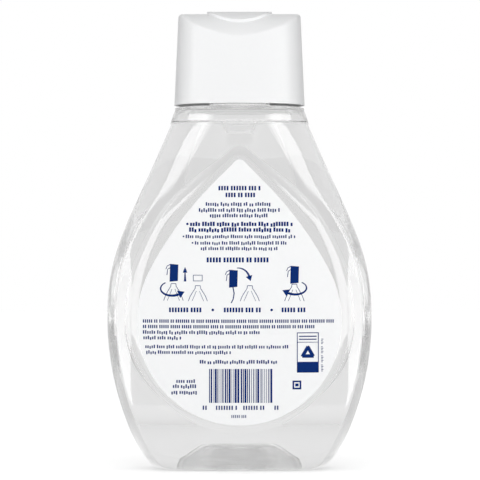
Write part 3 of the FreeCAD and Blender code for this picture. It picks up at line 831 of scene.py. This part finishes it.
def print_arrow(ink, x, level, width, height, start, end, thickness):
    """Curved arrow."""
    ink.arc(x, level, width, height, start, end, thickness)
    angle = math.radians(end)
    tip = np.array([x, level]) + np.array([width / 2, height / 2]) * ray(angle)
    way = math.copysign(1.0, end - start)
    along = np.array([-width / 2 * math.sin(angle) * way, height / 2 * math.cos(angle) * way])
    along = along / math.hypot(*along)
    beside = np.array([-along[1], along[0]]) * thickness * 1.6
    ink.shape([tip + beside, tip - beside, tip + along * (thickness * 2.6)])


def print_shoulders(ink, x, level, spread, drop):
    """Line drawing of a bottle's neck and shoulders."""
    ink.line([(x - 1.0, level + 1.3), (x + 1.0, level + 1.3)], 0.25)
    for side in (-1, 1):
        outer = [(1.0, 1.3), (1.1, 0.2), (1.9, -1.0), (spread * 0.8, -0.6 * drop), (spread, -drop)]
        inner = [(0.6, -0.9), (spread - 1.5, -drop)]
        ink.line([(x + side * out, level + up) for out, up in outer], 0.25)
        ink.line([(x + side * out, level + up) for out, up in inner], 0.18)


def print_pictures(ink):
    """Three plain pictures of refilling: take the sprayer off, move it over, screw it on."""
    print_shoulders(ink, -27.0, 75.6, 4.0, 5.6)
    print_sprayer(ink, -26.9, 85.0)
    print_arrow(ink, -27.6, 74.9, 9.4, 5.8, 125.0, 305.0, 1.05)
    ink.shape([(-22.75, 77.8), (-21.75, 77.8), (-22.05, 81.6), (-22.45, 81.6)])
    ink.shape([(-23.2, 81.4), (-21.3, 81.4), (-22.25, 83.8)])
    print_shoulders(ink, -17.0, 74.8, 3.9, 5.0)
    ink.frame(-19.0, -15.1, 77.9, 80.5, 0.25)

    print_sprayer(ink, -2.6, 82.6)
    ink.line([(-2.7, 75.5), (-2.2, 73.0), (-2.6, 70.6), (-3.4, 69.0)], 0.45)
    print_arrow(ink, -0.6, 78.6, 9.4, 9.4, 95.0, 18.0, 0.85)
    print_shoulders(ink, 4.2, 74.8, 3.9, 5.0)

    print_shoulders(ink, 22.4, 75.4, 4.0, 5.6)
    print_sprayer(ink, 22.4, 84.2)
    print_arrow(ink, 22.8, 75.2, 9.2, 5.4, 55.0, -128.0, 1.05)


def print_stripes(ink):
    """Row of plain upright stripes of varied width."""
    place, right = -12.4, 13.4
    while place < right:
        width = ink.chance.choice((0.24, 0.4, 0.4, 0.62, 0.8))
        ink.box(place, place + width, 28.4, 42.2)
        place += width + ink.chance.choice((0.26, 0.4, 0.55))


def print_marks(ink):
    """Plain framed panel with a triangle of three strips, a filled band under it and a small square."""
    left, right, low, high = 23.4, 32.4, 40.6, 57.0
    ink.frame(left, right, low, high, 0.35)
    ink.box(left, right, low, low + 4.4)
    for down in (1.6, 2.8):
        ink.bar(left + 0.9, right - 0.9, high - down, 0.45)
    ink.bar(left, right, high - 4.0, 0.25)
    centre, reach = np.array([(left + right) / 2, low + 8.0]), 3.9
    corners = [centre + reach * ray(angle) for angle in np.radians((90, 210, 330))]
    for corner, other in zip(corners, corners[1:] + corners[:1]):
        inward = centre - (corner + other) / 2
        inward = inward / np.linalg.norm(inward) * 1.45
        start, end = corner + (other - corner) * 0.16, corner + (other - corner) * 0.86
        ink.shape([start, end, end + inward, start + inward])
    ink.frame(21.6, 25.2, 33.8, 37.4, 0.7)
    ink.bar(22.7, 24.1, 35.6, 1.2)
    for k in range(22):
        if k % 6 != 5:
            ink.bar(33.4, 34.0 + 0.3 * (k % 2), 41.2 + k * 0.62, 0.3)


def lay_on_label(mesh):
    """Cuts the flat shapes fine enough and lays them on the label's face."""
    bmesh.ops.triangulate(mesh, faces=mesh.faces[:])
    for _ in range(6):
        long_edges = [edge for edge in mesh.edges if edge.calc_length() > PRINT_LONGEST_EDGE]
        if not long_edges:
            break
        bmesh.ops.subdivide_edges(mesh, edges=long_edges, cuts=1)
        bmesh.ops.triangulate(mesh, faces=[face for face in mesh.faces if len(face.verts) > 3])
    tree = BVHTree.FromObject(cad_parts["back_label"], bpy.context.evaluated_depsgraph_get())
    for vertex in mesh.verts:
        x, level = vertex.co.x * MM, vertex.co.z * MM
        hit = tree.ray_cast(Vector((x, -1.0, level)), Vector((0, 1, 0)))[0]
        if hit is None:
            raise RuntimeError("print runs off the label at %.1f, %.1f" % (vertex.co.x, vertex.co.z))
        vertex.co = Vector((x, hit.y - PRINT_LIFT * MM, level))
    bmesh.ops.recalc_face_normals(mesh, faces=mesh.faces[:])
    for face in mesh.faces:
        if face.normal.y > 0:
            face.normal_flip()


def make_print(name, draw, seed):
    """One printed piece of the label."""
    ink = Print(seed)
    draw(ink)
    lay_on_label(ink.mesh)
    mesh = bpy.data.meshes.new(name)
    ink.mesh.to_mesh(mesh)
    ink.mesh.free()
    return place_object(name, mesh)


# ---- materials

def fill(tree, node, values):
    """Links a node's inputs to other sockets, or sets them to plain values."""
    for name, value in values.items():
        if isinstance(value, bpy.types.NodeSocket):
            tree.links.new(value, node.inputs[name])
        else:
            node.inputs[name].default_value = value


def add_node(tree, kind, values, **choices):
    """New shader node with its choices made and its inputs filled."""
    node = tree.nodes.new("ShaderNode" + kind)
    for name, value in choices.items():
        setattr(node, name, value)
    fill(tree, node, values)
    return node


def add_math(tree, operation, *values, clamp=False):
    """Result of a Math node."""
    inputs = dict(enumerate(values))
    return add_node(tree, "Math", inputs, operation=operation, use_clamp=clamp).outputs[0]


def add_ramp(tree, value, start, end, low=0.0, high=1.0, smooth=False):
    """Value that goes from low to high while another goes from start to end."""
    limits = {"From Min": start, "From Max": end, "To Min": low, "To Max": high}
    kind = "SMOOTHSTEP" if smooth else "LINEAR"
    return add_node(tree, "MapRange", {"Value": value, **limits}, interpolation_type=kind).outputs[0]


def new_group(name, inputs, outputs):
    """Node group with named sockets, with its entry and its exit."""
    group = bpy.data.node_groups.new(name, "ShaderNodeTree")
    for socket, kind, start in inputs:
        made = group.interface.new_socket(name=socket, in_out="INPUT", socket_type="NodeSocket" + kind)
        made.default_value = start
    for socket, kind in outputs:
        group.interface.new_socket(name=socket, in_out="OUTPUT", socket_type="NodeSocket" + kind)
    return group, group.nodes.new("NodeGroupInput").outputs, group.nodes.new("NodeGroupOutput")


def grain_group():
    """Node group for fine unevenness: it tints a colour and gives a roughness and a height."""
    if "moulded_grain" in bpy.data.node_groups:
        return bpy.data.node_groups["moulded_grain"]
    group, entry, out = new_group(
        "moulded_grain",
        (
            ("Colour", "Color", (0.8, 0.8, 0.8, 1.0)), ("Size", "Float", 0.002), ("Tint", "Float", 0.02),
            ("Roughness", "Float", 0.3), ("Roughness change", "Float", 0.05),
        ),
        (("Colour", "Color"), ("Roughness", "Float"), ("Height", "Float")),
    )
    noise = add_node(group, "TexNoise", {
        "Vector": add_node(group, "TexCoord", {}).outputs["Object"],
        "Scale": add_math(group, "DIVIDE", 1.0, entry["Size"]),
        "Detail": 3.0,
    }).outputs["Fac"]
    shade = add_ramp(group, noise, 0.3, 0.7)
    tint = add_node(group, "Mix", {
        "Factor": add_math(group, "MULTIPLY", shade, entry["Tint"]),
        "A": entry["Colour"],
        "B": (0.0, 0.0, 0.0, 1.0),
    }, data_type="RGBA", blend_type="MULTIPLY")
    rough = add_math(group, "MULTIPLY_ADD", shade, entry["Roughness change"], entry["Roughness"])
    fill(group, out, {"Colour": tint.outputs["Result"], "Roughness": rough, "Height": noise})
    return group


def inner_glow_group():
    """Node group for light that only reflected and refracted rays find on a surface."""
    if "inner_glow" in bpy.data.node_groups:
        return bpy.data.node_groups["inner_glow"]
    inputs = [(socket, "Float", 0.0) for socket in ("Glossy ray", "Transmission ray", "Strength")]
    group, entry, out = new_group("inner_glow", inputs, [("Glow", "Float")])
    seen = add_math(group, "ADD", entry["Glossy ray"], entry["Transmission ray"], clamp=True)
    fill(group, out, {"Glow": add_math(group, "MULTIPLY", seen, entry["Strength"])})
    return group


def add_inner_glow(tree, strength):
    """Places the inner glow in a material and gives back its value and the kinds of ray."""
    rays = add_node(tree, "LightPath", {}).outputs
    glow = add_node(tree, "Group", {
        "Glossy ray": rays["Is Glossy Ray"],
        "Transmission ray": rays["Is Transmission Ray"],
        "Strength": strength,
    }, node_tree=inner_glow_group())
    return glow.outputs["Glow"], rays


def give_light(tree, value):
    """Lets a material give as much white light as a value says."""
    fill(tree, tree.nodes["Principled BSDF"], {"Emission Color": value, "Emission Strength": 1.0})


def finished_material(name, colour, own, size, tint, roughness, change, bump=0.0, distance=0.0, glow=0.0):
    """Principled material with values of its own, the shared grain, and a painted glow that only reflected and
    refracted rays see.
    """
    material = bpy.data.materials.new(name)
    material.use_nodes = True
    tree = material.node_tree
    shader = tree.nodes["Principled BSDF"]
    grain = add_node(tree, "Group", {
        "Colour": (*colour, 1.0), "Size": size, "Tint": tint,
        "Roughness": roughness, "Roughness change": change,
    }, node_tree=grain_group()).outputs
    fill(tree, shader, {"Base Color": grain["Colour"], "Roughness": grain["Roughness"], **own})
    if bump:
        relief = {"Strength": bump, "Distance": distance, "Height": grain["Height"]}
        fill(tree, shader, {"Normal": add_node(tree, "Bump", relief).outputs["Normal"]})
    # painted glow: the surface gives off light of its own to rays seen in reflections and through the bottle
    if glow:
        give_light(tree, add_inner_glow(tree, glow)[0])
    return material


def clear_plastic_material():
    """Polished clear plastic with the faint unevenness of a blown wall, frosted in the push-up."""
    material = finished_material(
        "clear_bottle", (0.99, 0.99, 0.99), {"Transmission Weight": 1.0, "IOR": 1.5},
        size=0.03, tint=0.005, roughness=0.02, change=0.01, bump=0.03, distance=0.0002,
    )
    tree = material.node_tree
    rough = tree.nodes["Principled BSDF"].inputs["Roughness"]
    place = add_node(tree, "TexCoord", {}).outputs["Object"]
    oval = (1 / (PUNT_HALF[0] * MM), 1 / (PUNT_HALF[1] * MM), 0.0)
    stretch = add_node(tree, "VectorMath", {0: place, 1: oval}, operation="MULTIPLY").outputs[0]
    reach = add_node(tree, "VectorMath", {0: stretch}, operation="LENGTH").outputs["Value"]
    level = add_node(tree, "SeparateXYZ", {0: place}).outputs["Z"]
    inside = add_math(
        tree, "MULTIPLY",
        add_ramp(tree, reach, 1.1, 0.9),
        add_ramp(tree, level, (PUNT_RISE + 2.5) * MM, (PUNT_RISE + 1.5) * MM),
    )
    tree.links.new(add_math(tree, "MULTIPLY_ADD", inside, PUNT_FROST, rough.links[0].from_socket), rough)
    return material


def liquid_material():
    """Clear dish soap."""
    return finished_material(
        "clear_liquid", settings()[1].liquid, {"Transmission Weight": 1.0, "IOR": 1.36},
        size=0.02, tint=0.01, roughness=0.0, change=0.01,
    )


def cap_material():
    """White moulded plastic with a fine satin grain, and a painted glow seen only in reflections and through
    the bottle.
    """
    return finished_material(
        "white_cap", settings()[1].cap_white, {"IOR": 1.49},
        size=0.0006, tint=0.012, roughness=0.5, change=0.06, bump=0.05, distance=0.0001, glow=0.3,
    )


def label_material():
    """White printed film with a soft gloss, and a painted glow seen only in reflections and through the
    bottle.
    """
    return finished_material(
        "label_film", settings()[1].label_white, {"IOR": 1.45},
        size=0.0015, tint=0.012, roughness=0.42, change=0.08, bump=0.04, distance=0.0001, glow=0.3,
    )


def ink_material():
    """Dark blue ink, slightly uneven."""
    return finished_material(
        "label_ink", settings()[1].ink, {"IOR": 1.45, "Specular IOR Level": 0.05},
        size=0.0008, tint=0.12, roughness=0.5, change=0.08, bump=0.03, distance=0.00005,
    )


def liner_material():
    """Off-white foam sheet with a painted glow seen only in reflections and through the bottle."""
    return finished_material(
        "liner_foam", (0.8, 0.8, 0.78), {"IOR": 1.45},
        size=0.0004, tint=0.1, roughness=0.7, change=0.1, bump=0.5, distance=0.0002, glow=0.7,
    )


def dress(piece, material):
    """Gives a piece one material in all its slots."""
    if not piece.material_slots:
        piece.data.materials.append(material)
    for slot in piece.material_slots:
        slot.material = material


# ---- stage

def make_world():
    """White all round to the camera, softly graded in reflections and through the bottle."""
    stage = settings()[2]
    world = bpy.data.worlds.new("soft_studio")
    bpy.context.scene.world = world
    world.use_nodes = True
    tree = world.node_tree
    rays = add_node(tree, "LightPath", {}).outputs
    around = add_node(tree, "TexCoord", {}).outputs["Generated"]
    ahead = add_node(tree, "SeparateXYZ", {0: around}).outputs["Y"]
    grade = add_ramp(
        tree, ahead, start=0.97, end=0.8, low=stage.backdrop, high=stage.backdrop * 0.78, smooth=True,
    )
    seen = add_math(tree, "ADD", rays["Is Glossy Ray"], rays["Is Transmission Ray"], clamp=True)
    soft = add_node(tree, "Mix", {"Factor": seen, "A": stage.ambient, "B": grade}).outputs["Result"]
    shown = add_node(tree, "Mix", {"Factor": rays["Is Camera Ray"], "A": soft, "B": 1.0}).outputs["Result"]
    fill(tree, tree.nodes["Background"], {"Color": (1.0, 1.0, 1.0, 1.0), "Strength": shown})


def make_floor():
    """Pale floor that keeps the object's shadow and glows more or less with the distance from it."""
    corners = np.array([(-1, -1, 0), (1, -1, 0), (1, 1, 0), (-1, 1, 0)]) * FLOOR_HALF / MM
    floor = place_mesh("floor", corners - np.array([0, 0, FLOOR_DROP / MM]), [(0, 1, 2, 3)], smooth=False)
    material = finished_material(
        "pale_floor", (0.9, 0.9, 0.9), {}, size=0.2, tint=0.0, roughness=0.9, change=0.05,
    )
    tree = material.node_tree
    place = add_node(tree, "TexCoord", {}).outputs["Object"]
    away = add_node(tree, "VectorMath", {0: place}, operation="LENGTH").outputs["Value"]
    through = add_ramp(tree, away, start=0.05, end=0.13, low=0.8, high=0.31, smooth=True)
    glow, rays = add_inner_glow(tree, through)
    bright = add_ramp(tree, away, start=0.06, end=0.2, low=0.5, high=0.62, smooth=True)
    give_light(tree, add_math(tree, "MULTIPLY_ADD", rays["Is Camera Ray"], bright, glow))
    dress(floor, material)


def add_lamp(name, place, target, width, height, power):
    """Soft rectangular lamp aimed at a point, hidden from what is seen through the bottle."""
    lamp = bpy.data.lights.new(name, "AREA")
    lamp.shape = "RECTANGLE"
    lamp.size, lamp.size_y = width, height
    lamp.energy = power
    holder = place_object(name, lamp)
    holder.location = place
    holder.rotation_euler = (Vector(target) - Vector(place)).to_track_quat("-Z", "Y").to_euler()
    holder.visible_camera = False
    holder.visible_transmission = False
    return holder


def make_lamps():
    """Front lamp behind the camera, tall strips at both sides and one lamp overhead."""
    stage = settings()[2]
    middle = (0.0, 0.0, 0.09)
    front = add_lamp(
        "front_lamp", (0.0, -1.7, 0.5), middle, width=2.2, height=1.8, power=stage.front_power,
    )
    front.visible_glossy = False
    add_lamp("top_lamp", (0.0, 0.1, 1.3), middle, width=0.8, height=0.6, power=stage.top_power)
    for start, end, foot, head, share in STRIPS:
        angle = math.radians((start + end) / 2)
        width = 2 * STRIP_DISTANCE * math.tan(math.radians(end - start) / 2)
        height, level = head - foot, (foot + head) / 2
        power = stage.edge_glow * share * math.pi * width * height
        for side, word in ((-1, "left"), (1, "right")):
            place = (side * STRIP_DISTANCE * math.sin(angle), -STRIP_DISTANCE * math.cos(angle), level)
            name = "strip_%d_%s" % (start, word)
            strip = add_lamp(name, place, (0.0, 0.0, level), width, height, power)
            strip.visible_diffuse = False


def make_camera():
    """Camera in front of the labelled face, a little below the middle of the bottle."""
    low, high = CAD_BOX
    camera = bpy.data.cameras.new("camera")
    camera.angle = 2 * math.atan(SHOWN_HEIGHT / 2 / CAMERA_DISTANCE)
    camera.clip_start = 0.01
    holder = place_object("camera", camera)
    holder.location = (0.0, -CAMERA_DISTANCE, CAMERA_LEVEL)
    aim = Vector((AIM_ASIDE, 0.0, (high[2] + low[2]) / 2))
    holder.rotation_euler = (aim - holder.location).to_track_quat("-Z", "Y").to_euler()
    bpy.context.scene.camera = holder


# ---- operators

class REFILL_OT_stage(Operator):
    """Builds the floor, the backdrop, the lamps and the camera"""
    bl_idname = "refill.stage"
    bl_label = "Build Stage"

    def execute(self, context):
        context.scene.view_settings.view_transform = "Standard"
        light_paths = context.scene.cycles
        light_paths.max_bounces = BOUNCES
        light_paths.glossy_bounces = BOUNCES
        light_paths.transmission_bounces = BOUNCES
        make_world()
        make_floor()
        make_lamps()
        make_camera()
        return {"FINISHED"}


class REFILL_OT_bottle(Operator):
    """Builds the clear bottle with its collar lugs"""
    bl_idname = "refill.bottle"
    bl_label = "Build Bottle"

    def execute(self, context):
        material = clear_plastic_material()
        bottle = make_bottle()
        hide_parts("bottle")
        for piece in (bottle, make_lugs()):
            dress(piece, material)
            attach(piece, "bottle_body")
        return {"FINISHED"}


class REFILL_OT_liquid(Operator):
    """Builds the dish soap inside the bottle"""
    bl_idname = "refill.liquid"
    bl_label = "Build Liquid"

    def execute(self, context):
        liquid = make_liquid()
        dress(liquid, liquid_material())
        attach(liquid, "bottle_body")
        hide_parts("dish_soap")
        return {"FINISHED"}


class REFILL_OT_label(Operator):
    """Finishes the label and prints it"""
    bl_idname = "refill.label"
    bl_label = "Print Label"

    def execute(self, context):
        dress(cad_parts["back_label"], label_material())
        ink = ink_material()
        seed = context.scene.refill_finishes.seed
        for name, draw in (
            ("print_rows", print_rows),
            ("print_pictures", print_pictures),
            ("print_stripes", print_stripes),
            ("print_marks", print_marks),
        ):
            piece = make_print(name, draw, seed)
            dress(piece, ink)
            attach(piece, "bottle_body")
        return {"FINISHED"}


class REFILL_OT_cap(Operator):
    """Finishes the cap and its liner"""
    bl_idname = "refill.cap"
    bl_label = "Finish Cap"

    def execute(self, context):
        dress(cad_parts["cap"], cap_material())
        dress(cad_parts["seal_liner"], liner_material())
        return {"FINISHED"}


class REFILL_PT_panel(Panel):
    """Sidebar panel of the refill bottle"""
    bl_idname = "REFILL_PT_panel"
    bl_label = "Refill Bottle"
    bl_space_type = "VIEW_3D"
    bl_region_type = "UI"
    bl_category = "Refill Bottle"

    def draw(self, context):
        for group in settings():
            box = self.layout.box()
            for name in group.__annotations__:
                box.prop(group, name)
        for operator in OPERATORS:
            self.layout.operator(operator.bl_idname)


OPERATORS = (REFILL_OT_stage, REFILL_OT_bottle, REFILL_OT_liquid, REFILL_OT_label, REFILL_OT_cap)
GROUPS = (RefillBottleSizes, RefillBottleFinishes, RefillBottleStage)


def register():
    for cls in GROUPS + OPERATORS + (REFILL_PT_panel,):
        bpy.utils.register_class(cls)
    bpy.types.Scene.refill_sizes = PointerProperty(type=RefillBottleSizes)
    bpy.types.Scene.refill_finishes = PointerProperty(type=RefillBottleFinishes)
    bpy.types.Scene.refill_stage = PointerProperty(type=RefillBottleStage)


def unregister():
    del bpy.types.Scene.refill_stage
    del bpy.types.Scene.refill_finishes
    del bpy.types.Scene.refill_sizes
    for cls in (REFILL_PT_panel,) + OPERATORS[::-1] + GROUPS[::-1]:
        bpy.utils.unregister_class(cls)


def main():
    """Registers the add-on and builds everything."""
    register()
    bpy.ops.refill.stage()
    bpy.ops.refill.bottle()
    bpy.ops.refill.liquid()
    bpy.ops.refill.label()
    bpy.ops.refill.cap()


if __name__ == "__main__":
    main()
